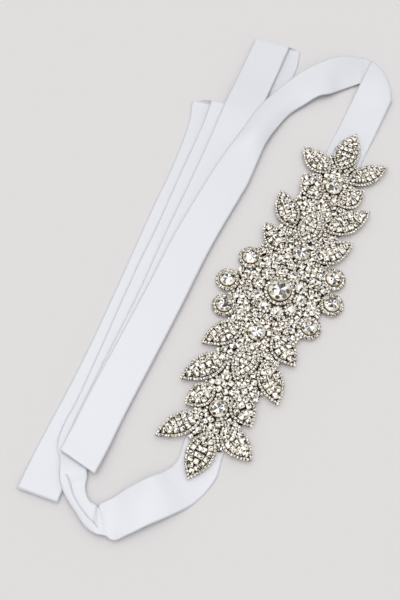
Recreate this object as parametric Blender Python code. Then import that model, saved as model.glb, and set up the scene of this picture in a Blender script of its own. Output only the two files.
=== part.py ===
"""Bridal sash laid on a table: a narrow satin ribbon whose two ties are folded beside a long
beaded applique of leaves, round clusters and set stones.

Sizes here are in millimetres and are scaled to metres as each mesh is made. The origin is on the
table under the middle of the applique, +Y runs along the applique and +Z is up. Headings are in
degrees in plan, 0 along +X and 90 along +Y. A lean raises the ribbon's right-hand side.
"""

import math

import bpy
import numpy as np

MM = 0.001
WIDTH = 26.0
WALL = 1.0
GAP = 0.3
SEAM_SHARE = 0.25
TABLE = 0.0
ON_TABLE = TABLE + WALL / 2
ACROSS = 4
SHARP = 35.0
# Distance between sections along the ribbon: on straight runs, on the stretch beneath, in turns and in the twist.
LONG_STEP = 12.0
MIDDLE_STEP = 10.0
TURN_STEP = 5.0
TWIST_STEP = 3.0
ROLL_STEPS = 6
CORNER_ACROSS = 12
CORNER_STEPS = 40
ARCH_EASE = 13.0
HEM_OUTWARD = 262.0
TOP_OUTWARD = 100.0

CARRIER_HALF = 112.0
BACKING_Z = TABLE + WALL + GAP
BACKING_WALL = 1.0
SEAT_Z = BACKING_Z + BACKING_WALL + GAP
RIM_HEIGHT = 1.2
DOME_HEIGHT = 1.9

STATION = ("x", "y", "z", "heading", "lean", "chord")
FLAT = WIDTH

# Tie A: up from the applique, over a soft corner fold, round a leaning turn, down the front run.
CORNER = {
    "x": -0.9, "y": 184.5, "axis": 132.0, "middle_radius": 1.7, "end_radius": 1.1, "half_length": 20.2,
    "bulge": 3.5, "shear": 0.25, "under": 1.4, "spacing": 1.5, "closes_over": 6.0, "lift_over": 40.0,
    "strip": 94.0, "settle": 9.0,
}
TURN = (
    (-30.1, 177.6, 3.6, 202.8, 7, 28.5),
    (-38.5, 168.0, 4.6, 219, 3, 27.0),
    (-45.8, 158.6, 5.2, 233, -5, 23.5),
    (-52.2, 144.0, 6.6, 243.5, -11, 21.5),
    (-57.7, 130.0, 7.6, 252.5, -13, 20.0),
    (-61.0, 115.5, 8.2, 258, -12.5, 19.8),
    (-63.3, 98.5, 8.0, 265, -12, 19.5),
    (-64.0, 82.0, 7.2, 268.5, -7, 22.5),
)
FRONT = (
    (-64.6, 64.0, 5.9, 267, -3, 25.8),
    (-65.5, 50.0, 5.4, 269, 0, FLAT),
    (-66.8, 8.0, 5.2, 269, 3, FLAT),
    (-65.4, -45.0, 5.0, 269, 2, FLAT),
    (-64.8, -112.0, 5.0, 270, 2, FLAT),
    (-63.7, -138.0, 5.5, 268, 0, FLAT),
    (-63.4, -153.1, 6.4, 262, 0, FLAT),
)
FRONT_HEM = (-63.7, -152.3, 4.4, 82, 0, FLAT)
BACK = (
    (-64.4, -138.9, 3.6, 92, 0, FLAT),
    (-65.6, -120.0, 3.2, 93, 0, FLAT),
    (-66.5, -100.0, 3.2, 93, 0, FLAT),
    (-69.0, -45.0, 3.2, 94, 0, FLAT),
    (-73.2, 10.0, 3.2, 94, 0, FLAT),
    (-76.6, 60.0, 3.3, 94, 0, FLAT),
    (-78.8, 88.0, 3.7, 94, 0, FLAT),
    (-81.2, 113.5, 5.0, 94, 0, FLAT),
    (-82.5, 132.3, 4.2, 93, 0, FLAT),
    (-84.0, 153.0, 3.2, 92, 0, FLAT),
    (-86.0, 181.0, 3.4, 98, 0, FLAT),
)
RETURN_TOP = (-77.0, 180.6, 0.8, 282, 0, FLAT)
RETURN = (
    (-73.8, 168.5, 0.5, 280, 0, FLAT),
    (-72.8, 152.0, 0.5, 272, 0, FLAT),
    (-72.6, 134.0, 0.5, 270, 0, FLAT),
)

# Tie B: down from the applique in an arched sweep, a gathered twist, up beneath tie A, down as the tail.
SWEEP = (
    (0.0, -CARRIER_HALF - GAP, ON_TABLE, 270, 0, FLAT),
    (2.0, -126.0, 0.7, 266, 0, FLAT),
    (-2.0, -139.0, 2.4, 250, 0, FLAT),
    (-10.2, -149.8, 4.6, 238, 0, FLAT),
    (-19.3, -160.8, 4.8, 234, 0, FLAT),
    (-26.2, -170.3, 2.8, 230, 0, 25.0),
    (-32.2, -177.0, 2.2, 227, 0, 23.0),
)
TWIST = (
    (-32.7, -177.5, 2.4, 226, 0, 22.8),
    (-40.6, -177.6, 3.2, 190, 0, 13.5),
    (-49.0, -174.6, 3.4, 161, 0, 9.5),
    (-56.8, -169.2, 3.2, 138, 0, 10.0),
    (-62.2, -162.0, 2.6, 116, 0, 18.0),
)
RISE = (
    (-64.6, -156.5, 2.0, 103, 0, 25.5),
    (-68.6, -146.0, 1.8, 100, 0, FLAT),
    (-70.2, -134.0, 1.8, 94, 0, FLAT),
    (-70.8, -112.0, 1.8, 92, 0, FLAT),
    (-78.4, -30.0, 1.8, 94, 0, FLAT),
    (-80.6, 5.0, 1.8, 92, 0, FLAT),
    (-85.4, 57.0, 1.8, 95, 0, FLAT),
    (-88.2, 92.0, 2.2, 95, 0, FLAT),
    (-91.6, 117.0, 3.6, 101, 0, FLAT),
)
TAIL_TOP = (-104.4, 112.0, 0.6, 283, 0, FLAT)
TAIL = (
    (-98.2, 92.0, ON_TABLE, 282, 0, FLAT),
    (-93.0, 56.0, ON_TABLE, 276, 0, FLAT),
    (-90.0, 17.0, ON_TABLE, 274, 0, FLAT),
    (-83.4, -52.0, ON_TABLE, 275, 0, FLAT),
    (-79.8, -98.0, ON_TABLE, 272, 0, FLAT),
    (-78.6, -135.0, ON_TABLE, 271, 0, FLAT),
    (-77.8, -160.0, 0.7, 273, 0, FLAT),
    (-75.8, -181.3, 2.8, 277, 0, FLAT),
)

# Applique: one half of a point-symmetric layout, the other half is turned by 180 degrees.
LEAF = ("name", "base_x", "base_y", "tip_x", "tip_y", "width")
LEAVES = (
    ("end", 0.0, 102.0, 0.0, 134.0, 18.5),
    ("end_left", -5.0, 97.0, -29.8, 107.5, 17.0),
    ("end_right", 9.0, 94.5, 30.0, 119.0, 15.0),
    ("second_left", -3.5, 74.5, -21.0, 89.0, 17.0),
    ("second_right", 10.0, 75.5, 22.0, 94.0, 15.5),
    ("third_left", -10.5, 46.5, -30.0, 69.5, 17.0),
    ("third_right", 11.0, 53.5, 32.0, 80.5, 17.0),
    ("fourth_left", -8.5, 28.5, -29.5, 42.0, 16.5),
    ("fourth_right", 11.5, 30.5, 30.5, 53.5, 16.5),
    ("spine", -0.5, 39.0, 1.0, 67.0, 17.5),
)
STONE = ("name", "x", "y", "radius")
AXIS_STONES = (("outer", 2.0, 87.3, 5.8), ("inner", 1.7, 31.8, 5.8))
CLUSTERS = (("first", 27.2, -14.4), ("second", 34.0, 6.6), ("third", 28.4, 23.8))
CLUSTER_RADIUS = 7.9
CLUSTER_STONE = 4.6
ROSETTE_RADIUS = 21.8
CENTRE_STONE = 7.0
# Rings of the round pieces from the rim inward: radius share, height above the rim and depth of the lobes.
RING = ("radius_share", "above_rim", "lobe")
ROSETTE_RINGS = ((1.0, 0.0, 0.03), (0.84, 1.2, 0.03), (0.66, 0.6, 0.0), (0.5, 1.6, 0.0), (0.4, 1.6, 0.0))
ROSETTE_LOBES = 10
ROSETTE_SIDES = 40
CLUSTER_RINGS = ((1.0, 0.0, 0.04), (0.8, 0.7, 0.04), (0.62, 0.7, 0.0))
CLUSTER_LOBES = 8
CLUSTER_SIDES = 24
# Rings of a cut stone, in shares of its radius outward and upward.
CUT = ("radius_share", "height_share")
CUT_RINGS = ((0.86, 0.0), (1.0, 0.09), (1.0, 0.3), (0.82, 0.56), (0.55, 0.72))
CUT_SIDES = 16
# Rings of a leaf: share of the way in from its outline to its spine, and height above its seat.
DOME = ("inward", "height")
DOME_RINGS = (
    (0.0, 0.0), (0.0, RIM_HEIGHT), (0.38, RIM_HEIGHT + 0.68 * DOME_HEIGHT), (0.78, RIM_HEIGHT + DOME_HEIGHT),
)
LEAF_STEPS = 9
SPINE_START = 0.14
SPINE_SHARE = 0.72
BACKING = ("y", "half_width")
BACKING_ROWS = ((0, 29), (16, 27), (30, 20), (44, 18), (62, 17), (80, 14), (98, 13), (112, 8))


def table(columns, rows):
    return [dict(zip(columns, row)) for row in rows]


def material(name, colour, roughness, metallic):
    made = bpy.data.materials.new(name)
    made.use_nodes = True
    shader = made.node_tree.nodes["Principled BSDF"]
    shader.inputs["Base Color"].default_value = (*colour, 1.0)
    shader.inputs["Roughness"].default_value = roughness
    shader.inputs["Metallic"].default_value = metallic
    return made


def mesh_object(name, points, faces, finish):
    mesh = bpy.data.meshes.new(name)
    mesh.from_pydata([tuple(point) for point in np.asarray(points) * MM], [], faces)
    mesh.materials.append(finish)
    mesh.shade_smooth()
    mesh.set_sharp_from_angle(angle=math.radians(SHARP))
    made = bpy.data.objects.new(name, mesh)
    bpy.context.scene.collection.objects.link(made)
    return made


def cloth(name, grid, finish):
    """A closed wall round a sheet of points, WALL thick, half of it on each side."""
    rows, columns, _ = grid.shape
    faces = []
    for row in range(rows - 1):
        for column in range(columns - 1):
            corner = row * columns + column
            faces.append((corner, corner + 1, corner + columns + 1, corner + columns))
    made = mesh_object(name, grid.reshape(-1, 3), faces, finish)
    wall = made.modifiers.new("wall", "SOLIDIFY")
    wall.thickness = WALL * MM
    wall.offset = 0.0
    return made


def edges(row):
    """The left and right edge of the ribbon at a station, as two points."""
    heading = math.radians(row["heading"])
    lean = math.radians(row["lean"])
    middle = np.array([row["x"], row["y"], row["z"]])
    side = np.array([math.sin(heading), -math.cos(heading), 0.0]) * math.cos(lean)
    side[2] = math.sin(lean)
    half = row["chord"] / 2
    return np.array([middle - side * half, middle + side * half])


def sections(rows, flipped=False):
    """Edge pairs of a table of stations. flipped swaps them, for a stretch that shows its other face."""
    pairs = [edges(row) for row in table(STATION, rows)]
    return [pair[::-1] for pair in pairs] if flipped else pairs


def rolled(first, last, outward):
    """Edge pairs of a fold that rolls from one layer to the next, half a circle bulging outward."""
    out = np.array([math.cos(math.radians(outward)), math.sin(math.radians(outward)), 0.0])
    radius = abs(first[:, 2].mean() - last[:, 2].mean()) / 2
    found = []
    for step in range(1, ROLL_STEPS):
        turn = math.pi * step / ROLL_STEPS
        found.append((first + last) / 2 + (first - last) / 2 * math.cos(turn) + out * radius * math.sin(turn))
    return found


def smooth(pairs, spacing):
    """More edge pairs on a Catmull-Rom curve through these, about the given distance apart."""
    points = [2 * pairs[0] - pairs[1], *pairs, 2 * pairs[-1] - pairs[-2]]
    found = []
    for before, start, end, after in zip(points, points[1:], points[2:], points[3:]):
        length = np.linalg.norm(end.mean(axis=0) - start.mean(axis=0))
        count = max(1, round(length / spacing))
        for step in range(count):
            t = step / count
            found.append(
                start
                + 0.5 * t * (end - before)
                + t * t * (before - 2.5 * start + 2 * end - 0.5 * after)
                + t**3 * (1.5 * start - 0.5 * before - 1.5 * end + 0.5 * after)
            )
    found.append(pairs[-1])
    return found


def sheet(pairs):
    """A grid across edge pairs. Where the edges stand closer than the ribbon's width, it arches up.

    The arch eases in over the first ARCH_EASE of narrowing.
    """
    grid = []
    for first, second in pairs:
        chord = np.linalg.norm(second - first)
        arch = chord * math.sqrt(0.375 * max(0.0, WIDTH / chord - 1.0))
        ease = min(1.0, max(0.0, (WIDTH - chord) / ARCH_EASE))
        arch *= ease * ease * (3 - 2 * ease)
        across = np.linspace(0.0, 1.0, ACROSS + 1)[:, None]
        line = first + (second - first) * across
        line[:, 2] = np.maximum(line[:, 2] + arch * 4 * across[:, 0] * (1 - across[:, 0]), ON_TABLE)
        grid.append(line)
    return np.array(grid)


def parted(pairs):
    """The same stretch with its share of the seam's gap taken from each end."""
    trimmed = list(pairs)
    for end, inside in ((0, 1), (-1, -2)):
        step = pairs[inside] - pairs[end]
        trimmed[end] = pairs[end] + step * SEAM_SHARE / np.linalg.norm(step.mean(axis=0))
    return trimmed


def ramp(reach, top):
    """Height of the upper layer at a distance back from the corner's roll."""
    rise = max(0.0, 1 - abs(reach) / CORNER["lift_over"])
    return ON_TABLE + (top - ON_TABLE) * rise * rise * (3 - 2 * rise)


def corner_sheet():
    """Tie A's first stretch: flat from the applique, lifting to a diagonal roll and on beneath itself."""
    c = CORNER
    axis = math.radians(c["axis"])
    along = np.array([math.cos(axis), math.sin(axis)])
    normal = np.array([math.sin(axis), -math.cos(axis)])
    start = CARRIER_HALF + GAP
    stops = np.concatenate([np.linspace(0, 48, 9)[:-1], np.linspace(48, c["strip"], CORNER_STEPS)])
    sides = np.linspace(-WIDTH / 2, WIDTH / 2, CORNER_ACROSS + 1)
    grid = np.zeros((len(stops), len(sides), 3))
    for i, stop in enumerate(stops):
        for j, side in enumerate(sides):
            point = np.array([c["x"] + side, start + stop]) - (c["x"], c["y"])
            at = point @ along
            share = min(1.0, abs(at) / c["half_length"])
            bulge = c["bulge"] * (1 - share**2)
            past = point @ normal - bulge
            radius = c["end_radius"] + (c["middle_radius"] - c["end_radius"]) * (1 - share**2)
            top = c["under"] + 2 * radius
            if past < 0:
                reach, height = past, ramp(past, top)
            elif past < math.pi * radius:
                reach, height = radius * math.sin(past / radius), top - radius * (1 - math.cos(past / radius))
            else:
                reach = math.pi * radius - past
                closed = math.exp(reach / c["closes_over"])
                spacing = c["spacing"] + (2 * radius - c["spacing"]) * closed
                height = max(ON_TABLE, ramp(reach, top) - spacing)
                at += c["shear"] * reach
            plan = np.array([c["x"], c["y"]]) + along * at + normal * (reach + bulge)
            grid[i, j] = (*plan, height)
        straight = grid[i, 0] + (grid[i, -1] - grid[i, 0]) * np.linspace(0, 1, len(sides))[:, None]
        late = max(0.0, 1 - (c["strip"] - stop) / c["settle"])
        grid[i] += (straight - grid[i]) * late * late * (3 - 2 * late)
    return grid


def stack(name, rings, finish):
    """A closed piece from rings of points, one above the other, the first its underside, the last its top."""
    count = len(rings[0])
    faces = [tuple(reversed(range(count)))]
    for ring in range(len(rings) - 1):
        for side in range(count):
            first, second = ring * count + side, ring * count + (side + 1) % count
            faces.append((first, second, second + count, first + count))
    last = (len(rings) - 1) * count
    faces.append(tuple(range(last, last + count)))
    return mesh_object(name, np.concatenate(rings), faces, finish)


def circle(x, y, radius, height, sides, lobes=0, lobe=0.0):
    turn = 2 * math.pi * np.arange(sides) / sides
    reach = radius * (1 + lobe * np.cos(lobes * turn))
    return np.stack([x + reach * np.cos(turn), y + reach * np.sin(turn), np.full(sides, height)], 1)


def lobed_disc(name, x, y, radius, rows, sides, lobes, finish):
    """A round piece with a lobed rim, flat below, its rings taken from a table."""
    rim = SEAT_Z + RIM_HEIGHT
    rows = table(RING, rows)
    rings = [circle(x, y, radius, SEAT_Z, sides, lobes, rows[0]["lobe"])]
    for row in rows:
        reach = radius * row["radius_share"]
        rings.append(circle(x, y, reach, rim + row["above_rim"], sides, lobes, row["lobe"]))
    return stack(name, rings, finish)


def set_stone(name, x, y, radius, seat, finish):
    """A round cut stone in its cup: straight wall, sloping crown and flat table."""
    rings = [
        circle(x, y, row["radius_share"] * radius, seat + row["height_share"] * radius, CUT_SIDES)
        for row in table(CUT, CUT_RINGS)
    ]
    return stack(name, rings, finish)


def leaf(row, turned, finish):
    """A pointed oval dome from base to tip: upright rim, then rings that rise to a ridge."""
    sign = -1 if turned else 1
    base = np.array([row["base_x"], row["base_y"]]) * sign
    tip = np.array([row["tip_x"], row["tip_y"]]) * sign
    length = np.linalg.norm(tip - base)
    along = (tip - base) / length
    across = np.array([along[1], -along[0]])
    share = (1 - np.cos(np.linspace(0, math.pi, LEAF_STEPS + 1))) / 2
    width = row["width"] / 2 * np.sin(math.pi * share**0.86) ** 0.82
    ahead = np.concatenate([share, share[-2:0:-1]])
    aside = np.concatenate([width, -width[-2:0:-1]])
    outline = base + np.outer(ahead * length, along) + np.outer(aside, across)
    spine = base + np.outer((SPINE_START + SPINE_SHARE * ahead) * length, along)
    rings = []
    for level in table(DOME, DOME_RINGS):
        plan = outline + (spine - outline) * level["inward"]
        rings.append(np.column_stack([plan, np.full(len(plan), SEAT_Z + level["height"])]))
    return stack(f"leaf_{row['name']}_{'south' if turned else 'north'}", rings, finish)


def backing(finish):
    """The fabric backing: a plate between two smooth sides, the same when turned by 180 degrees."""
    rows = table(BACKING, BACKING_ROWS)
    ys = np.linspace(-rows[-1]["y"], rows[-1]["y"], 37)
    half = np.interp(abs(ys), [row["y"] for row in rows], [row["half_width"] for row in rows])
    outline = np.concatenate([np.stack([half, ys], 1), np.stack([-half, ys], 1)[::-1]])
    count = len(outline)
    points = [(*point, BACKING_Z) for point in outline]
    points += [(*point, BACKING_Z + BACKING_WALL) for point in outline]
    faces = [(side, (side + 1) % count, (side + 1) % count + count, side + count) for side in range(count)]
    ladder = count // 2
    for row in range(ladder - 1):
        low = (row, count - 1 - row, count - 2 - row, row + 1)
        faces.append(low)
        faces.append(tuple(index + count for index in reversed(low)))
    return mesh_object("applique_backing", points, faces, finish)


def tie_a(satin):
    corner = corner_sheet()
    cloth("tie_a_rise", np.array(parted(corner)), satin)
    rise_end = np.array([corner[-1][-1], corner[-1][0]])
    front = sections(FRONT)
    turn = smooth([rise_end, *sections(TURN), front[0]], TURN_STEP)
    cloth("tie_a_turn", sheet(parted(turn)), satin)
    hem = sections([FRONT_HEM], flipped=True)[0]
    fold = rolled(front[-1], hem, HEM_OUTWARD)
    cloth("tie_a_front", sheet(parted([*smooth(front, LONG_STEP), *fold, hem])), satin)
    back = sections(BACK, flipped=True)
    top = sections([RETURN_TOP])[0]
    loop = rolled(back[-1], top, TOP_OUTWARD)
    cloth("tie_a_back", sheet(parted([*smooth([hem, *back], LONG_STEP), *loop, top])), satin)
    cloth("tie_a_return", sheet(parted(smooth([top, *sections(RETURN)], MIDDLE_STEP))), satin)


def tie_b(satin):
    cloth("tie_b_sweep", sheet(parted(smooth(sections(SWEEP), TURN_STEP))), satin)
    twist = sections(TWIST)
    cloth("tie_b_twist", sheet(parted(smooth(twist, TWIST_STEP))), satin)
    rise = sections(RISE)
    top = sections([TAIL_TOP], flipped=True)[0]
    loop = rolled(rise[-1], top, TOP_OUTWARD)
    cloth("tie_b_rise", sheet(parted([*smooth([twist[-1], *rise], MIDDLE_STEP), *loop, top])), satin)
    cloth("tie_b_tail", sheet(parted(smooth([top, *sections(TAIL, flipped=True)], LONG_STEP))), satin)


def applique(felt, silver, crystal):
    backing(felt)
    for row in table(LEAF, LEAVES):
        leaf(row, False, silver)
        leaf(row, True, silver)
    rim = SEAT_Z + RIM_HEIGHT
    lobed_disc("rosette", 0, 0, ROSETTE_RADIUS, ROSETTE_RINGS, ROSETTE_SIDES, ROSETTE_LOBES, silver)
    set_stone("rosette_stone", 0, 0, CENTRE_STONE, rim + ROSETTE_RINGS[-1][1] + GAP, crystal)
    seat = rim + CLUSTER_RINGS[-1][1] + GAP
    for half, sign in (("north", 1), ("south", -1)):
        for row in table(STONE, AXIS_STONES):
            name = f"stone_{row['name']}_{half}"
            set_stone(name, row["x"] * sign, row["y"] * sign, row["radius"], SEAT_Z, crystal)
        for place, x, y in CLUSTERS:
            name = f"cluster_{place}_{half}"
            x, y = x * sign, y * sign
            lobed_disc(name, x, y, CLUSTER_RADIUS, CLUSTER_RINGS, CLUSTER_SIDES, CLUSTER_LOBES, silver)
            set_stone(f"{name}_stone", x, y, CLUSTER_STONE, seat, crystal)


def main():
    for old in list(bpy.data.objects):
        bpy.data.objects.remove(old, do_unlink=True)
    satin = material("white satin ribbon", (0.86, 0.87, 0.89), 0.38, 0.0)
    felt = material("white felt backing", (0.78, 0.78, 0.77), 0.9, 0.0)
    silver = material("silver stone setting", (0.66, 0.65, 0.62), 0.35, 0.9)
    crystal = material("clear cut crystal", (0.9, 0.91, 0.92), 0.08, 0.2)
    carrier = [
        np.array([[-WIDTH / 2, y, ON_TABLE], [WIDTH / 2, y, ON_TABLE]])
        for y in np.linspace(-CARRIER_HALF, CARRIER_HALF, 9)
    ]
    cloth("ribbon_carrier", sheet(carrier), satin)
    tie_a(satin)
    tie_b(satin)
    applique(felt, silver, crystal)


main()
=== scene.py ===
import math
import bpy
import numpy as np
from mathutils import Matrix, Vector


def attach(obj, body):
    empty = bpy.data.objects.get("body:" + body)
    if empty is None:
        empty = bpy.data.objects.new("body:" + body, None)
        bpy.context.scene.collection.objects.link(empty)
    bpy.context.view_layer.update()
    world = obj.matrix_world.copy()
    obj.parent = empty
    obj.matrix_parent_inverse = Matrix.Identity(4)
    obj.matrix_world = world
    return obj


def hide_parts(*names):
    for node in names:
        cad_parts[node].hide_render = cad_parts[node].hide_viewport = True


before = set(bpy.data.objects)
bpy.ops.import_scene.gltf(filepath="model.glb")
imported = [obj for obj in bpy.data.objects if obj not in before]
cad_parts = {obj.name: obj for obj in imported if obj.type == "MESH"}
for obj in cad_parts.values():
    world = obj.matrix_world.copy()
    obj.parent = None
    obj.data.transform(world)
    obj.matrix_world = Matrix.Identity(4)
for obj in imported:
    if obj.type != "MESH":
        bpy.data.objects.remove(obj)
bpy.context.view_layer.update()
mm = 0.001  # every size below is in millimetres
dice = np.random.default_rng(41)  # seeded, so each run gives the same sash
print("frame loaded")


def toLinear(hexColour):
    # sRGB hex to linear: the sRGB curve undone, channel by channel
    srgb = np.array([int(hexColour[i:i + 2], 16) for i in (1, 3, 5)]) / 255
    return tuple(np.where(srgb <= 0.04045, srgb / 12.92, ((srgb + 0.055) / 1.055) ** 2.4)) + (1.0,)


def addNode(tree, kind, settings=None, links=None):
    # one node: settings go to its properties or input sockets, links bring other nodes' outputs into its inputs
    node = tree.nodes.new(kind)
    for key, value in (settings or {}).items():
        if isinstance(key, str) and hasattr(node, key):
            setattr(node, key, value)
        else:
            node.inputs[key].default_value = value
    for key, output in (links or {}).items():
        tree.links.new(output, node.inputs[key])
    return node


def newFinish(name, colour, roughness, metallic=0.0):
    finish = bpy.data.materials.new(name)
    finish.use_nodes = True
    shader = finish.node_tree.nodes["Principled BSDF"]
    shader.inputs["Base Color"].default_value = toLinear(colour)
    shader.inputs["Roughness"].default_value = roughness
    shader.inputs["Metallic"].default_value = metallic
    return finish, finish.node_tree, shader


def putMesh(name, points, faces, finish, slotName, smooth=True):
    # points (n, 3) in mm, faces a list of index tuples
    mesh = bpy.data.meshes.new(name)
    mesh.from_pydata((np.asarray(points) * mm).tolist(), [], faces)
    mesh.materials.append(finish)
    mesh.polygons.foreach_set("use_smooth", np.full(len(mesh.polygons), smooth))
    mesh.update()
    made = bpy.data.objects.new(name, mesh)
    bpy.context.scene.collection.objects.link(made)
    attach(made, "root")
    return made


def gridFaces(rows, columns, wrap=False):
    # quads between neighbouring rows and columns of a grid of points, facing up when columns run along +X
    corner = np.arange(rows * columns).reshape(rows, columns)
    right = np.roll(corner, -1, 1) if wrap else corner[:, 1:]
    left = corner if wrap else corner[:, :-1]
    return np.stack([left[:-1], right[:-1], right[1:], left[1:]], -1).reshape(-1, 4)


# Ribbon: one strip of double-faced satin, 26 mm wide. Stations are x, y, z, heading, lean and chord.
# Headings are degrees in plan, a lean raises the right-hand side, and a chord under 26 mm gathers it into an arch.
ribbon = {
    "width": 26.0, "thickness": 0.4, "columns": 20, "lowest": 0.22, "carrierHalf": 112.0, "solidMiddle": 0.5,
    "longStep": 2.0, "turnStep": 1.2, "rollSteps": 14, "fineTurnSpans": 10, "fineSweepSpans": 12, "carrierRows": 90,
    "archOver": 18.0, "pleatFrom": 26.0, "pleatOver": 13.0, "pleatRise": 2.6, "pleatGather": 0.75, "pleatDepth": 2.1,
    "ripple": 0.14, "rippleLengths": (23, 61), "rippleSlant": 1.3,  # slow waves: height, lengths, slant across
    "frill": 0.11, "frillLengths": (9.5, 70), "frillShift": 2, "sewnHalf": 16, "wavesIn": 12,  # edge waves
    "colour": "#DADDE3", "gloss": (0.24, 0.38), "threads": (400.0, 17.0, 1.0), "relief": 0.05,
    "turn": [
        (-30.1, 177.6, 4.0, 202.8, 7, 28.5), (-38.5, 167.6, 5.4, 219, 5, 27), (-45.8, 158.6, 5.3, 233, 4, 23.5),
        (-52.6, 145.6, 4.2, 243.5, 4, 21.5), (-58.5, 132.6, 3.7, 252.5, 4, 20), (-61.9, 118.1, 4.3, 258, 5, 19.8),
        (-64.0, 100.6, 4.7, 265, 5, 19.5), (-64.6, 83.5, 4.7, 268.5, 5, 22.5),
    ],
    "front": [
        (-64.8, 64.6, 4.7, 267, 5, 25.8), (-65.5, 50.0, 4.6, 269, 5, 26), (-66.8, 8.0, 4.4, 269, 5, 26),
        (-65.4, -45.0, 4.3, 269, 5, 26), (-64.8, -112.0, 4.3, 270, 4, 26), (-63.7, -138.0, 4.9, 268, 1, 26),
        (-63.4, -153.1, 6.2, 262, 0, 26),
    ],
    "frontHem": (-63.7, -152.3, 4.4, 82, 0, 26), "hemOutward": 262,
    "back": [
        (-64.4, -138.9, 3.3, 92, -1, 26), (-65.6, -120.0, 2.9, 93, -2, 26), (-66.5, -100.0, 2.9, 93, -2, 26),
        (-69.0, -45.0, 2.9, 94, -2, 26), (-73.2, 10.0, 3.0, 94, -2, 26), (-76.6, 60.0, 3.2, 94, -1, 26),
        (-78.8, 88.0, 3.6, 94, 0, 26), (-81.2, 113.5, 4.6, 94, 0, 26), (-82.5, 132.3, 4.0, 93, 0, 26),
        (-84.0, 153.0, 3.0, 92, 0, 26), (-86.0, 181.0, 3.2, 98, 0, 26),
    ],
    "returnTop": (-77.0, 180.6, 0.8, 282, 0, 26), "topOutward": 100,
    "return": [(-73.8, 168.5, 0.5, 280, 0, 26), (-72.8, 152.0, 0.5, 272, 0, 26), (-72.6, 134.0, 0.5, 270, 0, 26)],
    "sweep": [
        (0.0, -112.3, 0.5, 270, 0, 26), (2.0, -126.0, 0.9, 266, 1, 26), (-2.0, -139.0, 1.7, 250, 6, 26),
        (-10.2, -149.8, 4.2, 238, 5, 26), (-19.3, -160.8, 4.2, 234, -3, 25.4), (-26.2, -170.3, 3.4, 230, -6, 24.6),
    ],
    "twist": [
        (-32.4, -177.2, 3.4, 226, 0, 23), (-40.6, -177.6, 3.2, 190, 0, 13.5), (-49.0, -174.6, 3.4, 161, 0, 9.5),
        (-56.6, -169.2, 3.2, 138, 0, 11.5), (-61.6, -162.4, 2.8, 120, 0, 16),
    ],
    "rise": [
        (-65.2, -155.8, 2.2, 108, 0, 20.5), (-68.8, -146.0, 1.9, 100, 0, 25), (-70.2, -134.0, 1.8, 94, 0, 26),
        (-70.8, -112.0, 1.8, 92, 0, 26), (-78.4, -30.0, 1.8, 94, 0, 26), (-80.6, 5.0, 1.8, 92, 0, 26),
        (-85.4, 57.0, 1.8, 95, 0, 26), (-88.2, 92.0, 2.2, 95, 0, 26), (-91.6, 117.0, 3.6, 101, 0, 26),
    ],
    "tailTop": (-104.4, 112.0, 0.6, 283, 0, 26),
    "tail": [
        (-98.2, 92.0, 0.5, 282, 0, 26), (-93.0, 56.0, 0.5, 276, 0, 26), (-90.0, 17.0, 0.5, 274, 0, 26),
        (-83.4, -52.0, 0.5, 275, 0, 26), (-79.8, -98.0, 0.5, 272, 0, 26), (-78.6, -135.0, 0.5, 271, 0, 26),
        (-77.8, -160.0, 0.7, 273, 0, 26), (-75.8, -181.3, 2.8, 277, 0, 26),
    ],
}
corner = {
    "x": -0.9, "y": 184.5, "axis": 132.0, "middleRadius": 1.5, "rightRadius": 0.7, "leftRadius": 0.4,
    "halfLength": 20.2, "bulge": 3.5, "shear": 0.25, "under": 1.4, "gap": 0.6, "gapReach": 6.0,
    "liftOver": 40.0, "strip": 94.0, "settle": 9.0, "liftRows": 27, "foldRows": 88,
}


def edgePairs(stations):
    # left and right edge at each station: the middle, half a chord to either side, square to the heading
    x, y, z, heading, lean, chord = np.atleast_2d(np.array(stations, float)).T
    heading, lean = np.radians(heading), np.radians(lean)
    side = np.stack([np.sin(heading) * np.cos(lean), -np.cos(heading) * np.cos(lean), np.sin(lean)], -1)
    middle, half = np.stack([x, y, z], -1), side * chord[:, None] / 2
    return np.stack([middle - half, middle + half], 1)


def rollPairs(first, last, outward):
    # half a circle that carries one edge pair over into another, bulging outward in plan
    turn = (np.pi * np.arange(1, ribbon["rollSteps"]) / ribbon["rollSteps"])[:, None, None]
    way = np.array([math.cos(math.radians(outward)), math.sin(math.radians(outward)), 0])
    radius = abs(first[:, 2].mean() - last[:, 2].mean()) / 2
    return (first + last) / 2 + (first - last) / 2 * np.cos(turn) + way * radius * np.sin(turn)


def curvePairs(pairs, step, skip=0):
    # Catmull-Rom curve through the edge pairs, resampled about one step apart, without its first skip spans
    padded = np.concatenate([2 * pairs[:1] - pairs[1:2], pairs, 2 * pairs[-1:] - pairs[-2:-1]])
    counts = np.maximum(1, np.round(np.linalg.norm(np.diff(pairs.mean(1), axis=0), axis=1) / step)).astype(int)
    span = np.repeat(np.arange(len(counts)), counts)
    t = (np.arange(counts.sum()) - np.repeat(np.cumsum(counts) - counts, counts)) / counts[span]
    t = t[:, None, None]
    before, start, end, after = (padded[span + k] for k in range(4))
    bent = start + 0.5 * t * (end - before) + t**2 * (before - 2.5 * start + 2 * end - 0.5 * after)
    bent += t**3 * (1.5 * start - 0.5 * before - 1.5 * end + 0.5 * after)
    return np.concatenate([bent[span >= skip], pairs[-1:]])


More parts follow.
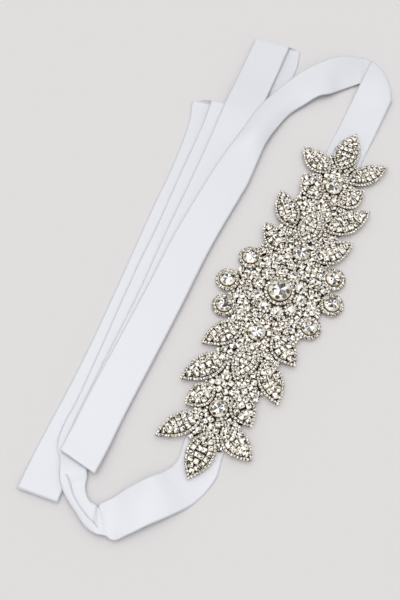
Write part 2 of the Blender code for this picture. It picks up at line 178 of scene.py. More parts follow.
def acrossRibbon(pairs, across, pleats=False):
    # where the edges stand closer than the ribbon's width it arches, a parabola of about the same length, eased in.
    # Closer still it may pleat: place = (1 - gather) * (t - 1/2) - sin(2 pi t) / depth, in chords from the middle,
    # so the ribbon doubles back under itself, one edge raised over the other
    r = ribbon
    first, second = pairs[:, :1], pairs[:, 1:]
    chord = np.linalg.norm(second - first, axis=2)
    pleat = np.clip((r["pleatFrom"] - chord) / r["pleatOver"], 0, 1) * pleats
    pleat = pleat * pleat * (3 - 2 * pleat)
    arch = chord * np.sqrt(3 / 8 * np.maximum(0, r["width"] / chord - 1))
    ease = np.clip((r["width"] - chord) / r["archOver"], 0, 1)
    arch = arch * ease * ease * (3 - 2 * ease) * (1 - pleat)
    place = (1 - r["pleatGather"] * pleat) * (across - 0.5) - pleat / r["pleatDepth"] * np.sin(2 * np.pi * across)
    grid = (first + second) / 2 + (second - first) * place[..., None]
    grid[..., 2] += arch * 4 * across * (1 - across) + pleat * r["pleatRise"] * (across - 0.5)
    return grid


def cornerFold(across):
    # flat from the applique, lifting to a diagonal roll and on close beneath itself: height follows a smooth ramp
    # to the axis, then the angle round the roll, then the same ramp less a gap that closes as an exponential
    c, middle = corner, ribbon["solidMiddle"]
    axis = math.radians(c["axis"])
    along, normal = np.array([math.cos(axis), math.sin(axis)]), np.array([math.sin(axis), -math.cos(axis)])
    lifting = np.linspace(0, c["liftOver"], c["liftRows"])[:-1]
    stops = np.concatenate([lifting, np.linspace(c["liftOver"], c["strip"], c["foldRows"])])
    plan = np.stack(np.meshgrid((across - 0.5) * ribbon["width"], ribbon["carrierHalf"] + stops - c["y"]), -1)
    at = plan @ along
    share = np.minimum(1, abs(at) / c["halfLength"])
    bulge = c["bulge"] * (1 - share**2)
    past = plan @ normal - bulge
    endRadius = np.where(at > 0, c["leftRadius"], c["rightRadius"])
    radius = endRadius + (c["middleRadius"] - endRadius) * (1 - share**2)
    top = c["under"] + 2 * radius
    angle = np.clip(past / radius, 0, np.pi)
    reach = np.where(past < 0, past, np.where(angle < np.pi, radius * np.sin(angle), np.pi * radius - past))
    ramp = np.clip(1 - abs(reach) / c["liftOver"], 0, 1)
    above = middle + (top - middle) * ramp * ramp * (3 - 2 * ramp)
    gap = c["gap"] + (2 * radius - c["gap"]) * np.exp(np.minimum(reach, 0) / c["gapReach"])
    rolled, below = top - radius * (1 - np.cos(angle)), np.maximum(above - gap, middle)
    height = np.where(past < 0, above, np.where(angle < np.pi, rolled, below))
    slide = at + c["shear"] * np.where(past > 0, np.minimum(reach, 0), 0)
    flat = np.array([c["x"], c["y"]]) + along * slide[..., None] + normal * (reach + bulge)[..., None]
    bent = np.concatenate([flat, height[..., None]], -1)
    straight = bent[:, :1] + (bent[:, -1:] - bent[:, :1]) * across[:, None]
    late = np.clip(1 - (c["strip"] - stops) / c["settle"], 0, 1)[:, None, None]
    return bent + (straight - bent) * late * late * (3 - 2 * late)  # its end row is straight again


def ribbonGrid():
    # every stretch in order from the tail's end to the return's end, columns always on the same selvedge
    r = ribbon
    across = np.linspace(0, 1, r["columns"] + 1)
    fold = cornerFold(across)
    front, hem = edgePairs(r["front"]), edgePairs(r["frontHem"])[:, ::-1]
    turn = np.concatenate([fold[-4::3][:, [-1, 0]], edgePairs(r["turn"]), front])
    steps = np.where(np.arange(len(turn) - 1) < r["fineTurnSpans"], r["turnStep"], r["longStep"])
    back, top = edgePairs(r["back"])[:, ::-1], edgePairs(r["returnTop"])
    tieA = np.concatenate([
        curvePairs(turn, steps, skip=1)[1:], rollPairs(front[-1], hem[0], r["hemOutward"]),
        curvePairs(np.concatenate([hem, back]), r["longStep"]), rollPairs(back[-1], top[0], r["topOutward"]),
        curvePairs(np.concatenate([top, edgePairs(r["return"])]), r["turnStep"]),
    ])
    lead = np.concatenate([edgePairs(r["sweep"]), edgePairs(r["twist"]), edgePairs(r["rise"])])
    steps = np.where(np.arange(len(lead) - 1) < r["fineSweepSpans"], r["turnStep"], r["longStep"])
    tailTop = edgePairs(r["tailTop"])[:, ::-1]
    tieB = np.concatenate([
        curvePairs(lead, steps), rollPairs(lead[-1], tailTop[0], r["topOutward"]),
        curvePairs(np.concatenate([tailTop, edgePairs(r["tail"])[:, ::-1]]), r["longStep"]),
    ])
    under = np.linspace(-r["carrierHalf"], r["carrierHalf"], r["carrierRows"])[1:-1]
    shift, high = np.interp(under, [0, r["carrierHalf"]], [0, corner["x"]]), 0 * under + r["solidMiddle"]
    carrier = np.stack([np.stack([shift + side * r["width"] / 2, under, high], -1) for side in (-1, 1)], 1)
    whole = np.concatenate([
        acrossRibbon(tieB[::-1, ::-1], across, pleats=True), acrossRibbon(carrier, across), fold,
        acrossRibbon(tieA[:, ::-1], across),
    ])
    whole[..., 2] -= r["solidMiddle"] - r["lowest"]  # a thinner cloth than the solid's, laid down on the same table
    return whole


def softWaves(grid):
    # distance along the ribbon, then a slow ripple (a product of two sines) and edge frills (a sine times the cube
    # of the way across), both low
    r = ribbon
    along = np.concatenate([[0], np.cumsum(np.linalg.norm(np.diff(grid.mean(1), axis=0), axis=1))])[:, None]
    across = np.linspace(-1, 1, grid.shape[1])[None]
    (slow, slower), (short, drift) = r["rippleLengths"], r["frillLengths"]
    ripple = r["ripple"] * np.sin(along / slow + r["rippleSlant"] * across) * np.sin(along / slower)
    frill = r["frill"] * across**3 * np.sin(along / short + r["frillShift"] * np.sin(along / drift))
    # none where it is sewn flat below the applique, coming in a little beyond it
    beyond = np.maximum(np.abs(grid[..., 1]) - r["carrierHalf"], np.abs(grid[..., 0]) - r["sewnHalf"])
    lift = (ripple + frill) * np.clip(beyond / r["wavesIn"], 0, 1)
    normal = np.cross(np.gradient(grid, axis=1), np.gradient(grid, axis=0))
    normal /= np.linalg.norm(normal, axis=2, keepdims=True)
    moved = grid + normal * lift[..., None]
    moved[..., 2] = np.maximum(moved[..., 2], r["lowest"])
    return moved, along[:, 0]


def makeRibbon():
    # double-faced satin, woven: long warp floats give a soft bright band across each bend
    r = ribbon
    finish, tree, shader = newFinish("white woven polyester satin", r["colour"], 0.3)
    shader.inputs["Specular IOR Level"].default_value = 1.0
    shader.inputs["Anisotropic"].default_value = 0.5
    shader.inputs["Sheen Weight"].default_value = 0.1
    weave = addNode(tree, "ShaderNodeUVMap", {"uv_map": "thread"})
    # warp floats: streaks 0.25 mm across and 6 mm along, drawn about twice as coarse as the yarns
    spread = {"operation": "MULTIPLY", 1: r["threads"]}
    floats = addNode(tree, "ShaderNodeVectorMath", spread, {0: weave.outputs["UV"]})
    streaks = addNode(tree, "ShaderNodeTexNoise", {"Scale": 1.0, "Detail": 3.0}, {"Vector": floats.outputs[0]})
    depth = {"Strength": 0.12, "Distance": r["relief"] * mm}
    relief = addNode(tree, "ShaderNodeBump", depth, {"Height": streaks.outputs["Fac"]})
    tree.links.new(relief.outputs["Normal"], shader.inputs["Normal"])
    span = dict(zip(("To Min", "To Max"), r["gloss"]))
    shine = addNode(tree, "ShaderNodeMapRange", span, {"Value": streaks.outputs["Fac"]})
    tree.links.new(shine.outputs[0], shader.inputs["Roughness"])
    grid, along = softWaves(ribbonGrid())
    made = putMesh("satinRibbon", grid.reshape(-1, 3), gridFaces(*grid.shape[:2]).tolist(), finish, "ribbon")
    thread = made.data.uv_layers.new(name="thread")  # u across and v along, both in millimetres over 100
    place = np.stack(np.meshgrid(np.linspace(0, r["width"], grid.shape[1]), along), -1).reshape(-1, 2) / 100
    loops = np.empty(len(made.data.loops), np.int32)
    made.data.loops.foreach_get("vertex_index", loops)
    thread.data.foreach_set("uv", place[loops].ravel())
    wall = made.modifiers.new("cloth", "SOLIDIFY")
    wall.thickness = r["thickness"] * mm
    wall.offset = 0
    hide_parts("ribbon_carrier", *[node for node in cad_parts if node.startswith("tie_")])
    print("ribbon", grid.shape, "length", round(float(along[-1])))
    return made


# Stones. Every cut stone sits in a stamped silver cup and is given by its middle, girdle radius and lean.
# Sizes are shares of that radius. Painted reflection tones: the least one of a crown facet and the share of facets
# painted dark as reflecting nothing, by the number of wedges in the table.
stone = {
    "table": 0.66, "height": 0.13, "peak": 0.15, "square": 7.0, "share": 0.43, "claws": 4,
    "reflectionTones": {8: (0.5, 0.3), 16: (0.25, 0.38)}, "middleReflection": 0.86, "swing": 0.75, "scatter": 0.2, "darkest": 0.12,
    "leans": {"filling": 0.06, "small": 0.07, "large": 0.04}, "spin": 0.08, "uneven": 0.3,
}
brilliant = {"table": 0.6, "tableHeight": 0.12, "star": 0.82, "starHeight": 0.08, "peak": 0.13}
setting = {
    "wall": [(0.98, 0.0), (1.05, -0.04), (1.03, -0.25)], "foot": 0.96,
    "claw": [(0.05, -0.3, 0.17), (0.02, 0.1, 0.16), (-0.27, 0.2, 0.09)],  # past the girdle, height, half width
    "sides": 8, "largeSides": 24, "largeClaws": 8, "largeDepth": 0.5,
}


def squared(turn, power):
    # how far out a circle swells towards the corners of a square: a superellipse of this power
    return (np.abs(np.cos(turn)) ** power + np.abs(np.sin(turn)) ** power) ** (-1 / power)


def smallStone():
    # a table of eight wedges and a crown of eight sloping facets, squared by its square cup
    turn = np.arange(8) * np.pi / 4
    ring = np.stack([np.cos(turn), np.sin(turn)], -1) * squared(turn, stone["square"])[:, None]
    table = np.column_stack([stone["table"] * ring, np.full(8, stone["height"])])
    points = np.concatenate([table, np.column_stack([ring, np.zeros(8)]), [[0, 0, stone["peak"]]]])
    k, n = np.arange(8), (np.arange(8) + 1) % 8
    return points, np.stack([k, n, np.full(8, 16)], -1).tolist() + np.stack([k, k + 8, n + 8, n], -1).tolist()


def largeStone():
    # round brilliant crown: table of 16 wedges, 8 stars, 8 kites and 16 upper girdle facets
    b = brilliant
    turn, ring = np.arange(8) * np.pi / 4, np.arange(16) * np.pi / 8
    between = turn + np.pi / 8
    table = np.stack([b["table"] * np.cos(turn), b["table"] * np.sin(turn), np.full(8, b["tableHeight"])], -1)
    edge = (np.roll(table, -1, 0) + table) / 2
    star = np.stack([b["star"] * np.cos(between), b["star"] * np.sin(between), np.full(8, b["starHeight"])], -1)
    girdle = np.stack([np.cos(ring), np.sin(ring), np.zeros(16)], -1)
    k, n = np.arange(8), (np.arange(8) + 1) % 8
    points = np.concatenate([table, edge, star, girdle, [[0, 0, b["peak"]]]])
    peak = np.full(8, len(points) - 1)
    sets = [
        (k, k + 8, peak), (k + 8, n, peak), (k, k + 16, k + 8), (k + 8, k + 16, n),
        (k, (k + 7) % 8 + 16, 24 + 2 * k, k + 16),
        (k + 16, 24 + 2 * k, 25 + 2 * k), (k + 16, 25 + 2 * k, 24 + (2 * k + 2) % 16),
    ]
    return points, [face for corners in sets for face in np.stack(corners, -1).tolist()]


def cup(sides, claws, power=2.0, depth=0.8):
    # a rim and wall from a short profile, squared by the power, then claws, each a strip bent in over the girdle
    profile = np.array(setting["wall"] + [(setting["foot"], -depth)])
    turn = np.arange(sides) * 2 * np.pi / sides
    reach = profile[:, :1] * squared(turn, power)
    rings = np.stack([reach * np.cos(turn), reach * np.sin(turn), np.repeat(profile[:, 1:], sides, 1)], -1)
    points, faces = [rings.reshape(-1, 3)], gridFaces(len(profile), sides, wrap=True)[:, ::-1].tolist()
    start = len(profile) * sides
    for claw in range(claws):
        a = (claw + 0.5) * 2 * np.pi / claws
        girdle = squared(a, power)
        strip = np.array([(girdle + past, height, half) for past, height, half in setting["claw"]])
        out, side = np.array([math.cos(a), math.sin(a)]), np.array([-math.sin(a), math.cos(a)])
        low, wide = strip[:, :1] * out, strip[:, 2:] * side
        bent = np.stack([np.column_stack([low + wide * way, strip[:, 1]]) for way in (-1, 1)], 1)
        points.append(bent.reshape(-1, 3))
        faces += (gridFaces(3, 2) + start).tolist()
        start += 6
    return np.concatenate(points), faces


def scatter(name, shape, middles, radii, normals, spin, finish, slotName):
    # copies a shape to every middle: turned by its own spin, tipped to its normal and scaled by its radius
    points, faces = shape
    up = normals / np.linalg.norm(normals, axis=1, keepdims=True)
    ahead = np.stack([np.cos(spin), np.sin(spin), np.zeros_like(spin)], -1)
    ahead -= up * (ahead * up).sum(1, keepdims=True)
    ahead /= np.linalg.norm(ahead, axis=1, keepdims=True)
    frameOf = np.stack([ahead, np.cross(up, ahead), up], 1)
    placed = np.einsum("vk,nkj->nvj", points, frameOf) * radii[:, None, None] + middles[:, None]
    count = len(points)
    copies = [tuple(index + count * copy for index in face) for copy in range(len(middles)) for face in faces]
    return putMesh(name, placed.reshape(-1, 3), copies, finish, slotName, smooth=False), len(faces)


# Applique: the layout of one half, the other is the same turned by 180 degrees round the centre.
applique = {
    "leaves": {  # base x, y, tip x, y and width
        "end": (0.0, 102.0, 0.0, 134.0, 18.5), "endLeft": (-5.0, 97.0, -29.8, 107.5, 17.0),
        "endRight": (9.0, 94.5, 30.0, 119.0, 15.0), "secondLeft": (-3.5, 74.5, -21.0, 89.0, 17.0),
        "secondRight": (10.0, 75.5, 22.0, 94.0, 15.5), "thirdLeft": (-10.5, 46.5, -30.0, 69.5, 17.0),
        "thirdRight": (11.0, 53.5, 32.0, 80.5, 17.0), "fourthLeft": (-8.5, 28.5, -29.5, 42.0, 16.5),
        "fourthRight": (11.5, 30.5, 30.5, 53.5, 16.5), "spine": (-0.5, 39.0, 1.0, 67.0, 17.5),
    },
    "axisStones": [(2.0, 87.3, 5.4), (1.7, 31.8, 5.4)], "clusters": [(27.2, -14.4), (34.0, 6.6), (28.4, 23.8)],
    "border": 2.0, "inner": 3.8, "rim": 3.4, "dome": 1.9, "padLow": 1.35, "padBelow": 0.95, "edgeBelow": 2.3,
    "axisHeight": 4.6, "bow": (0.86, 0.82), "tilt": 0.22, "tipEase": 6, "spine": (0.14, 0.72), "padSteps": (0.2, 0.3),
    "padRings": (0.16, 0.1, 0.08, 0.1, 0.35, 0.7, 0.97), "padStations": 17,
    # smallStone and largeStone are the middle colours of the stones' painted reflections
    # the net's near-black colour is painted shade between the stones
    "smallStone": "#DCD2BD", "largeStone": "#DCDBD4", "cups": "#DED2B8", "shadeNet": "#1C160D", "felt": "#E4E1DA",
}


def leafFrame(row, turned):
    # one leaf, or the same turned by 180 degrees: its base, the ways along and across it, its length and width
    sign = -1 if turned else 1
    base, tip = np.array(row[:2]) * sign, np.array(row[2:4]) * sign
    length = np.linalg.norm(tip - base)
    along = (tip - base) / length
    return base, along, np.array([along[1], -along[0]]), length, row[4]


def leafHalf(t, width):
    # half width along the leaf: a sine of the way to the first power, itself to the second
    first, second = applique["bow"]
    return width / 2 * np.maximum(0, np.sin(np.pi * np.clip(t, 0, 1) ** first)) ** second


def leafInset(length, width, inset):
    # both sides drawn in by the inset, measured square to the edge, as stations along the axis and half widths
    t = np.linspace(0.002, 0.998, 300)
    half = leafHalf(t, width)
    slope = np.gradient(half, t * length)
    inner = half - inset * np.sqrt(1 + np.minimum(slope**2, 4))
    good = inner > 0
    return t[good] * length, inner[good]


def evenly(x, y, pitch):
    # points one pitch apart along a line, stretched a little to end on its last point
    far = np.concatenate([[0], np.cumsum(np.hypot(np.diff(x), np.diff(y)))])
    count = max(1, round(far[-1] / pitch))
    at = np.linspace(0, far[-1], count + 1)
    return np.stack([np.interp(at, far, x), np.interp(at, far, y)], -1)


def leafStones(row, turned):
    # rows of stones drawn in from the outline, the outer row of small ones, then larger ones, then the midrib
    a = applique
    base, along, aside, length, width = leafFrame(row, turned)
    pitch, places, radii = a["border"], [], []
    lines = max(1, round((width - 2 * pitch) / a["inner"]))  # rows of larger stones across the middle
    space = (width - 2 * pitch) / lines
    rows = [(pitch / 2, pitch)] + [(pitch + space * (k + 0.5), space) for k in range(lines // 2)]
    for inset, gap in rows:
        x, half = leafInset(length, width, inset)
        side = evenly(np.concatenate([[x[0]], x, [x[-1]]]), np.concatenate([[0], half, [0]]), gap)
        places.append(np.concatenate([side, side[1:-1] * [1, -1]]))
        radii.append(np.full(len(places[-1]), gap * stone["share"]))
    if lines % 2:
        x = leafInset(length, width, rows[-1][0])[0]  # the midrib runs on inside the last row
        places.append(evenly(x[[0, -1]] + space * np.array([1, -1]), np.zeros(2), space))
        radii.append(np.full(len(places[-1]), space * stone["share"]))
    local, radii = np.concatenate(places), np.concatenate(radii)
    flat = base + local[:, :1] * along + local[:, 1:] * aside
    share = 1 - np.abs(local[:, 1]) / np.maximum(leafHalf(local[:, 0] / length, width), 0.1)
    share = np.clip(share, 0, 1) * np.clip(np.minimum(local[:, 0], length - local[:, 0]) / a["tipEase"], 0, 1)
    height = a["rim"] + a["dome"] * np.sin(share * np.pi / 2)
    tilt = np.sign(local[:, 1:]) * aside * a["tilt"] * (1 - share[:, None])
    slope = np.gradient(leafHalf(np.linspace(0, 1, 200), width), length / 199)
    bend = np.sign(local[:, 1]) * np.arctan(slope[(local[:, 0] / length * 199).astype(int)])
    spin = math.atan2(along[1], along[0]) - bend
    return np.column_stack([flat, height]), radii, np.column_stack([tilt, np.ones(len(flat))]), spin


def closedFaces(rings, count):
    # walls between rings of count points each, with a flat lid at both ends
    last = count * (rings - 1)
    return gridFaces(rings, count, wrap=True).tolist() + [tuple(range(count))[::-1], tuple(range(last, last + count))]


def leafPad(row, turned):
    # closed dome under the stones: rings from the outline in to the axis, the height a quarter sine of the way in
    a = applique
    base, along, aside, length, width = leafFrame(row, turned)
    t = (1 - np.cos(np.linspace(0, np.pi, a["padStations"]))) / 2
    middle, reach = base + np.outer(t * length, along), np.outer(leafHalf(t, width), aside)
    outline = np.concatenate([middle + reach, (middle - reach)[-2:0:-1]])
    (start, run), (lip, shoulder) = a["spine"], a["padSteps"]
    axis = base + np.outer((start + run * np.concatenate([t, t[-2:0:-1]])) * length, along)
    inward = np.array(a["padRings"])
    high = a["rim"] - a["padBelow"] + a["dome"] * np.sin(inward * np.pi / 2)
    high[:3] = (a["padLow"], a["padLow"] + lip, a["rim"] - a["padBelow"] - shoulder)
    plan = outline + (axis - outline) * inward[:, None, None]
    rings = np.concatenate([plan, np.broadcast_to(high[:, None, None], plan.shape[:2] + (1,))], -1)
    return rings.reshape(-1, 3), closedFaces(len(inward), len(outline))


def ringStones(x, y, radius, size, pitch, height, slope):
    # stones evenly round a circle, turned to face its middle and tipped outward by the slope
    count = round(2 * np.pi * radius / pitch)
    turn = np.arange(count) * 2 * np.pi / count
    out = np.stack([np.cos(turn), np.sin(turn)], -1)
    places = np.column_stack([(x, y) + radius * out, np.full(count, height)])
    return places, np.full(count, size), np.column_stack([out * slope, np.ones(count)]), turn


def roundPad(x, y, profile, sides, lobes):
    # a closed disc: a profile of radius, height and lobe depth turned once round, rim lobed by a cosine
    turn = np.arange(sides) * 2 * np.pi / sides
    rings = []
    for radius, height, lobe in profile:
        reach = radius * (1 + lobe * np.cos(lobes * turn))
        rings.append(np.stack([x + reach * np.cos(turn), y + reach * np.sin(turn), np.full(sides, height)], -1))
    return np.concatenate(rings), closedFaces(len(rings), sides)


def joined(parts):
    # several point and face sets as one
    points, faces, start = [], [], 0
    for somePoints, someFaces in parts:
        points.append(somePoints)
        faces += [tuple(index + start for index in face) for face in someFaces]
        start += len(somePoints)
    return np.concatenate(points), faces


rosette = {
    "pad": [  # radius, height and lobe depth
        (21.2, 1.35, 0.03), (21.8, 1.6, 0.03), (21.5, 2.5, 0.03), (18.3, 3.9, 0.03), (14.6, 3.4, 0),
        (10.9, 4.3, 0), (6.0, 4.3, 0),
    ],
    "rings": [  # radius of the ring, stone radius, pitch, height, slope outward
        (14.4, 2.4, 9.05, 4.8, 0.1), (8.8, 0.98, 2.3, 5.0, 0.0),
    ],
    "petalRing": (3.5, 0.95, 2.2, 4.4, 0.15),
    "lobes": 10, "sides": 60, "centre": (7.0, 6.8),
}
cluster = {
    "pad": [(7.5, 1.35, 0.04), (7.9, 1.6, 0.04), (7.8, 2.6, 0.04), (6.4, 3.6, 0.04), (3.0, 3.6, 0)],
    "ring": (6.75, 1.15, 2.6, 3.7, 0.35), "lobes": 8, "sides": 32, "stone": (4.95, 5.2),
}
backing = {
    "rows": [(0, 29), (16, 27), (30, 20), (44, 18), (62, 17), (80, 14), (98, 13), (112, 8)],  # y and half width
    "low": 0.5, "thick": 0.8, "half": 112, "across": 9, "fillReach": (17.8, 21.8), "raisedFill": (4.6, 3.4),
    "fill": [(1.8, 1.5), (1.4, 1.1), (1.0, 0.9), (0.75, 0.8)],  # stone radius and step of the grid it is tried on
    "fillHalf": (29, 111), "rowShare": 0.87, "fillBeyond": 2.5, "overLeaf": 0.25, "apart": 1.03,
    "netHalf": 111, "netBeyond": 1.6, "netHeights": (1.35, 2.2),
}


def backingHalf(y):
    rows = np.array(backing["rows"], float)
    return np.interp(np.abs(y), rows[:, 0], rows[:, 1])


def gapStones(taken, takenRadii):
    # candidates on a fine triangular grid over the backing, kept where a stone still fits between the others
    b, found, sizes = backing, np.empty((0, 2)), np.empty(0)
    wide, long = b["fillHalf"]
    for radius, step in b["fill"]:
        x, y = np.meshgrid(np.arange(-wide, wide, step), np.arange(-long, long, step * b["rowShare"]))
        x = x + np.where(np.arange(len(y)) % 2, step / 2, 0)[:, None]
        spots = np.stack([x.ravel(), y.ravel()], -1)
        free = np.abs(spots[:, 0]) < backingHalf(spots[:, 1]) + b["fillBeyond"] - radius
        for row in applique["leaves"].values():
            for turned in (False, True):
                base, along, aside, length, width = leafFrame(row, turned)
                local = (spots - base) @ np.stack([along, aside], 1)
                free &= np.abs(local[:, 1]) > leafHalf(local[:, 0] / length, width) + radius * b["overLeaf"]
        for spot in spots[free]:
            everyone, everySize = np.concatenate([taken, found]), np.concatenate([takenRadii, sizes])
            if (np.hypot(*(everyone - spot).T) > (radius + everySize) * b["apart"]).all():
                found, sizes = np.concatenate([found, [spot]]), np.append(sizes, radius)
    return found, sizes


def paintFacetReflections(made, facets, wedges):
    # one painted reflection tone a facet, standing in for the part of the room the foil under the glass would mirror.
    # The table's wedges are painted from light to dark across the stone as a cosine, as if lit from one side, and
    # some facets of each stone are painted dark as catching nothing at all
    stones = len(made.data.polygons) // facets
    least, darkShare = stone["reflectionTones"][wedges]
    turn = np.arange(wedges) * 2 * np.pi / wedges + dice.uniform(0, 2 * np.pi, (stones, 1))
    paintedReflection = dice.uniform(least, 1.0, (stones, facets))
    noise = dice.normal(0, stone["scatter"], (stones, wedges))
    paintedReflection[:, :wedges] = np.clip(stone["middleReflection"] + stone["swing"] * np.cos(turn) + noise, 0.0, 1)
    darkReflection = dice.random((stones, facets)) < darkShare
    paintedReflection[darkReflection] = dice.uniform(0.0, stone["darkest"], darkReflection.sum())
    made.data.attributes.new("paintedFacetReflection", "FLOAT", "FACE").data.foreach_set("value", paintedReflection.ravel())


def crystalFinish(name, middle):
    # machine-cut crystal with a silver foil back: clear glass, each facet's mirrored light or dark painted into its
    # base colour. The facet's painted reflection tone runs from near black over the middle colour to white
    finish, tree, shader = newFinish(name, "#E9EAEC", 0.1, 0.3)
    paintedReflection = addNode(tree, "ShaderNodeAttribute", {"attribute_name": "paintedFacetReflection"})
    shade = addNode(tree, "ShaderNodeValToRGB", links={"Fac": paintedReflection.outputs["Fac"]})
    ramp = shade.color_ramp
    ramp.elements[0].color, ramp.elements[1].color = toLinear("#0E0B07"), toLinear("#FFFFFF")
    ramp.elements.new(0.5).color = toLinear(middle)
    tree.links.new(shade.outputs["Color"], shader.inputs["Base Color"])
    return finish


def paleEdge(made, felt):
    # the pad's cut edge below the net shows the felt it is made on
    centres = np.empty(len(made.data.polygons) * 3)
    made.data.polygons.foreach_get("center", centres)
    made.data.materials.append(felt)
    made.data.polygons.foreach_set("material_index", (centres[2::3] < applique["edgeBelow"] * mm).astype(np.int32))


def makeBacking(shadeNet, felt):
    # the net, a flat plate a little wider than the felt, painted near black as shade between the stones, and the felt
    # below it, both to the backing's outline
    b = backing
    y = np.linspace(-b["netHalf"], b["netHalf"], b["netHalf"] + 1)
    plate = backingHalf(y) + b["netBeyond"]
    around = np.concatenate([np.stack([plate, y], -1), np.stack([-plate, y], -1)[::-1]])
    count = len(around)
    plan = np.concatenate([np.column_stack([around, np.full(count, height)]) for height in b["netHeights"]])
    faces = gridFaces(2, count, wrap=True).tolist()
    rungs = np.arange(count // 2 - 1)
    ladder = np.stack([rungs, count - 1 - rungs, count - 2 - rungs, rungs + 1], -1)
    putMesh("fillingBase", plan, faces + ladder.tolist() + (ladder[:, ::-1] + count).tolist(), shadeNet, "setting")
    y = np.linspace(-b["half"], b["half"], b["half"] + 1)
    half, across = backingHalf(y), np.linspace(-1, 1, b["across"])
    size = (len(y), len(across))
    level = np.full(size, b["low"] + b["thick"] / 2)
    sheet = np.stack([half[:, None] * across, np.broadcast_to(y[:, None], size), level], -1)
    made = putMesh("feltBacking", sheet.reshape(-1, 3), gridFaces(*size).tolist(), felt, "backing")
    wall = made.modifiers.new("felt", "SOLIDIFY")
    wall.thickness = b["thick"] * mm
    wall.offset = 0
    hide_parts("applique_backing")


def makeApplique():
    # the small stones' painted reflections are a little warmer, the plating round them painted in as if seen through
    # their sides
    crystal = crystalFinish("foil-backed cut crystal", applique["smallStone"])
    clear = crystalFinish("large foil-backed cut crystal", applique["largeStone"])
    # stamped cups, silver plated: bright metal, a little soft from the polish
    silver = newFinish("silver-plated stamped cups", applique["cups"], 0.35, 0.85)[0]
    # the net and cup bases under the stones, dull plated metal, painted near black as the shade that falls between
    # the stones
    shadeNet = newFinish("dull plated cup bases painted in shade", applique["shadeNet"], 0.6, 0.5)[0]
    # pressed felt, matt, a warm white
    felt = newFinish("white pressed felt", applique["felt"], 0.95)[0]
    leaves = [(row, turned) for row in applique["leaves"].values() for turned in (False, True)]
    leafGroups = [leafStones(*leaf) for leaf in leaves]
    nodes = [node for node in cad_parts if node.startswith("leaf_")]
    made = putMesh("leafPads", *joined([leafPad(*leaf) for leaf in leaves]), shadeNet, "setting")
    paleEdge(made, felt)
    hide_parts(*nodes)
    ringGroups = []
    for radius, size, pitch, height, slope in rosette["rings"]:
        ringGroups.append(ringStones(0, 0, radius, size, pitch, height, slope))
    for x, y in ringGroups[0][0][:, :2]:
        ringGroups.append(ringStones(x, y, *rosette["petalRing"]))
    pads = [roundPad(0, 0, rosette["pad"], rosette["sides"], rosette["lobes"])]
    centres = [(0.0, 0.0, rosette["centre"][1], rosette["centre"][0])]
    for sign in (1, -1):
        for x, y in applique["clusters"]:
            x, y = x * sign, y * sign
            ringGroups.append(ringStones(x, y, *cluster["ring"]))
            pads.append(roundPad(x, y, cluster["pad"], cluster["sides"], cluster["lobes"]))
            centres.append((x, y, cluster["stone"][1], cluster["stone"][0]))
        for x, y, radius in applique["axisStones"]:
            centres.append((x * sign, y * sign, applique["axisHeight"], radius))
    made = putMesh("rosettePad", *pads[0], shadeNet, "setting")
    paleEdge(made, felt)
    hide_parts("rosette")
    made = putMesh("clusterPads", *joined(pads[1:]), shadeNet, "setting")
    paleEdge(made, felt)
    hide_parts(*[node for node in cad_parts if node.startswith("cluster_") and not node.endswith("_stone")])
    centres = np.array(centres)
    middles, radii = (np.concatenate(column) for column in list(zip(*leafGroups, *ringGroups))[:2])
    taken = np.concatenate([middles[:, :2], centres[:, :2]])
    fill, fillRadii = gapStones(taken, np.concatenate([radii, centres[:, 3]]))
    leans, uneven = stone["leans"], stone["uneven"]
    lean = dice.normal(0, leans["filling"], (len(fill), 2))
    fillHeight = np.interp(np.hypot(*fill.T), backing["fillReach"], backing["raisedFill"])
    sets = {
        "leaf": tuple(np.concatenate(column) for column in zip(*leafGroups)),
        "round": tuple(np.concatenate(column) for column in zip(*ringGroups)),
        "filling": (
            np.column_stack([fill, fillHeight + dice.uniform(-uneven, uneven, len(fill))]), fillRadii,
            np.column_stack([lean, np.ones(len(fill))]), dice.uniform(0, np.pi, len(fill)),
        ),
    }
    for name, (places, sizes, ups, spins) in sets.items():
        ups = ups + np.column_stack([dice.normal(0, leans["small"], (len(ups), 2)), np.zeros(len(ups))])
        spins = spins + dice.normal(0, stone["spin"], len(spins))
        stones, facets = scatter(name + "Stones", smallStone(), places, sizes, ups, spins, crystal, "crystal")
        shape = cup(setting["sides"], stone["claws"], stone["square"])
        scatter(name + "Cups", shape, places, sizes, ups, spins, silver, "setting")
        paintFacetReflections(stones, facets, 8)
        print(name, len(places), "stones")
    ups = np.column_stack([dice.normal(0, leans["large"], (len(centres), 2)), np.ones(len(centres))])
    spins = dice.uniform(0, np.pi, len(centres))
    stones, facets = scatter("largeStones", largeStone(), centres[:, :3], centres[:, 3], ups, spins, clear, "crystal")
    paintFacetReflections(stones, facets, 16)
    shape = cup(setting["largeSides"], setting["largeClaws"], depth=setting["largeDepth"])
    scatter("largeCups", shape, centres[:, :3], centres[:, 3], ups, spins, silver, "setting")
    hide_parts(*[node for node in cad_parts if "stone" in node])
    makeBacking(shadeNet, felt)


# Room: a pale table under a sky of white cloth, brightest nearly overhead, with one broad weak lamp far off.
room = {
    "table": "#DEDCDC", "tableHalf": 2.5, "sky": (0.62, 2.9), "skyColour": "#FBFAFA", "focus": 10.0,
    "brightest": (-0.10, 0.12, 0.987),
    "lamps": {"keyLamp": ((-0.2, 0.5, 0.84), 0.2, 80)},  # direction to the lamp, strength and width in degrees
    "camera": (41.4, -201.8, 483.0), "view": (-0.1646, 0.3365, -0.9272), "lens": 48.0, "sensor": 36.0,
}


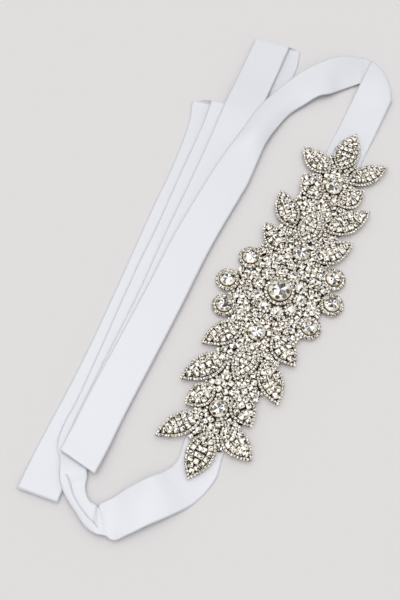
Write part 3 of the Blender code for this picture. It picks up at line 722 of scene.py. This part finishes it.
def farLamp(name, toward, strength, wide):
    lamp = bpy.data.lights.new(name, "SUN")
    lamp.energy, lamp.angle = strength, math.radians(wide)
    made = bpy.data.objects.new(name, lamp)
    made.location = Vector(toward)
    made.rotation_euler = Vector(toward).to_track_quat("Z", "Y").to_euler()
    bpy.context.scene.collection.objects.link(made)
    return made


def makeRoom():
    # smooth painted board, matt, the pale grey of a studio sweep
    paint = newFinish("matt painted board", room["table"], 0.7)[0]
    mesh = bpy.data.meshes.new("table")
    half = room["tableHalf"]
    mesh.from_pydata([(x * half, y * half, 0) for x, y in ((-1, -1), (1, -1), (1, 1), (-1, 1))], [], [(0, 1, 2, 3)])
    mesh.materials.append(paint)
    table = bpy.data.objects.new("table", mesh)
    bpy.context.scene.collection.objects.link(table)
    lamps = [farLamp(name, *values) for name, values in room["lamps"].items()]
    world = bpy.data.worlds.new("studio")
    world.use_nodes = True
    tree = world.node_tree
    place = addNode(tree, "ShaderNodeTexCoord")
    # strength = low + (high - low) * cosine from the brightest spot, to the power of the focus: a cloth tent
    # lit from above
    toward = {"operation": "DOT_PRODUCT", 1: room["brightest"]}
    climb = addNode(tree, "ShaderNodeVectorMath", toward, {0: place.outputs["Generated"]})
    climb = addNode(tree, "ShaderNodeMath", {"operation": "MAXIMUM", 1: 0.0}, {0: climb.outputs["Value"]})
    climb = addNode(tree, "ShaderNodeMath", {"operation": "POWER", 1: room["focus"]}, {0: climb.outputs[0]})
    low, high = room["sky"]
    climb = addNode(tree, "ShaderNodeMapRange", {"To Min": low, "To Max": high}, {"Value": climb.outputs[0]})
    tree.nodes["Background"].inputs["Color"].default_value = toLinear(room["skyColour"])
    tree.links.new(climb.outputs[0], tree.nodes["Background"].inputs["Strength"])
    bpy.context.scene.world = world
    lens = bpy.data.cameras.new("camera")
    lens.lens, lens.sensor_width = room["lens"], room["sensor"]
    camera = bpy.data.objects.new("camera", lens)
    camera.location = Vector(room["camera"]) * mm
    camera.rotation_euler = Vector(room["view"]).to_track_quat("-Z", "Y").to_euler()
    bpy.context.scene.collection.objects.link(camera)
    bpy.context.scene.camera = camera
    bpy.context.scene.view_settings.view_transform = "Standard"
    print("room made")


makeRoom()
makeRibbon()
makeApplique()
print("all pieces made")
